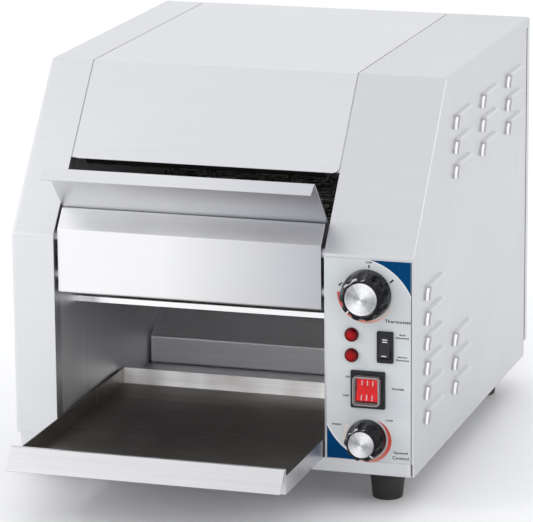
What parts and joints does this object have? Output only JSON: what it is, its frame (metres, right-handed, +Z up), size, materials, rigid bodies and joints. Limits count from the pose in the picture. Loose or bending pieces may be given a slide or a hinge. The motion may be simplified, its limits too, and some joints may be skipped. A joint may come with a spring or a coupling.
{
  "type": "conveyor toaster",
  "caption": "Countertop conveyor toaster in brushed steel with a feed ramp over a wire belt, a pull-out toast tray and a side control panel with dials and switches.",
  "frame": {"origin": "middle of the bounding box in plan, at the height of the counter under the feet", "axes": "+Z up, +Y from the front with the tray to the rear cover, +X to the right as seen from the front, where the control panel is"},
  "size_m": [0.3772, 0.5669, 0.362],
  "materials": {
    "shell_steel": "satin, brushed one way",
    "tray_steel": "satin, browned by heat inside",
    "inner_steel": "dull mill finish",
    "belt_wire": "heat-dulled wire",
    "shaft_steel": "turned",
    "screw_steel": "bright plated",
    "bush_brass": "turned",
    "insulator_ceramic": "unglazed",
    "element_sheath": "oxidised sheath",
    "foot_rubber": "matt",
    "control_face": "printed matt face",
    "knob_black": "gloss moulding",
    "spun_cap": "spun",
    "lamp_red": "translucent gloss",
    "switch_black": "fine texture",
    "rocker_red": "lit, translucent",
    "clear_cover": "clear soft moulding",
    "control_body": "moulded",
    "bulb_copper": "drawn copper",
    "board_green": "printed board",
    "fan_plastic": "moulded",
    "motor_paint": "semi-gloss"
  },
  "bodies": {
    "housing": {"base_pan": "shell_steel", "rubber_feet": "foot_rubber", "foot_screws": "screw_steel", "left_housing": "shell_steel", "right_housing": "shell_steel", "left_inner_wall": "inner_steel", "right_inner_wall": "inner_steel", "top_cover": "shell_steel", "rear_cover": "shell_steel", "rear_cover_screws": "screw_steel", "base_screws": "screw_steel", "front_panel": "shell_steel", "panel_spacers": "inner_steel", "feed_ramp": "shell_steel", "heat_shield": "inner_steel", "upper_reflector": "inner_steel", "return_chute": "inner_steel", "conveyor_belt": "belt_wire", "shaft_bushes": "bush_brass", "belt_guides": "inner_steel", "drive_chain": "shaft_steel", "motor_bracket": "inner_steel", "gear_motor": "motor_paint", "motor_screws": "screw_steel", "upper_heating_elements": "element_sheath", "lower_heating_elements": "element_sheath", "heater_insulators": "insulator_ceramic", "control_plate": "control_face", "thermostat": "control_body", "thermostat_bulb": "bulb_copper", "speed_control": "control_body", "speed_board": "board_green", "upper_pilot_lamp": "lamp_red", "lower_pilot_lamp": "lamp_red", "selector_switch": "switch_black", "power_switch": "switch_black", "power_switch_cover": "clear_cover", "limit_cutout": "control_body", "fan_frame": "fan_plastic", "terminal_block": "control_body", "cable_gland": "switch_black"},
    "tray": {"toast_tray": "tray_steel"},
    "thermostat_dial": {"thermostat_knob": "knob_black", "thermostat_cap": "spun_cap", "thermostat_shaft": "shaft_steel"},
    "speed_dial": {"speed_knob": "knob_black", "speed_cap": "spun_cap", "speed_shaft": "shaft_steel"},
    "selector": {"selector_rocker": "switch_black"},
    "power": {"power_rocker": "rocker_red"},
    "drive": {"drive_shaft": "shaft_steel", "drive_wheels": "belt_wire", "driven_sprocket": "shaft_steel"},
    "idler": {"idler_shaft": "shaft_steel", "idler_wheels": "belt_wire"},
    "motor_output": {"output_shaft": "shaft_steel", "motor_sprocket": "shaft_steel"},
    "fan": {"fan_rotor": "fan_plastic"}
  },
  "joints": [
    {"name": "tray_slide", "type": "slide", "parent": "housing", "child": "tray", "axis": [0, -1, 0], "range_m": [-0.07, 0.12]},
    {"name": "thermostat_turn", "type": "hinge", "parent": "housing", "child": "thermostat_dial", "pos_m": [0.1426, -0.15595, 0.19201], "axis": [0, 1, 0], "range_deg": [-225, 75]},
    {"name": "speed_turn", "type": "hinge", "parent": "housing", "child": "speed_dial", "pos_m": [0.1426, -0.15595, 0.06256], "axis": [0, 1, 0], "range_deg": [-90, 180]},
    {"name": "selector_tilt", "type": "hinge", "parent": "housing", "child": "selector", "pos_m": [0.159, -0.15565, 0.14599], "axis": [1, 0, 0], "range_deg": [0, 24]},
    {"name": "power_tilt", "type": "hinge", "parent": "housing", "child": "power", "pos_m": [0.1436, -0.15565, 0.10697], "axis": [1, 0, 0], "range_deg": [0, 24]},
    {"name": "drive_turn", "type": "hinge", "parent": "housing", "child": "drive", "pos_m": [0, 0.14365, 0.1965], "axis": [1, 0, 0], "continuous": true},
    {"name": "idler_turn", "type": "hinge", "parent": "housing", "child": "idler", "pos_m": [0, -0.08495, 0.1965], "axis": [1, 0, 0], "continuous": true},
    {"name": "motor_turn", "type": "hinge", "parent": "housing", "child": "motor_output", "pos_m": [0.1129, 0.14365, 0.1245], "axis": [1, 0, 0], "continuous": true},
    {"name": "fan_turn", "type": "hinge", "parent": "housing", "child": "fan", "pos_m": [0.1482, 0.25005, 0.262], "axis": [0, 1, 0], "continuous": true}
  ],
  "couplings": [
    {"joint": "idler_turn", "follows": "drive_turn", "ratio": 1},
    {"joint": "motor_turn", "follows": "drive_turn", "ratio": 1}
  ]
}
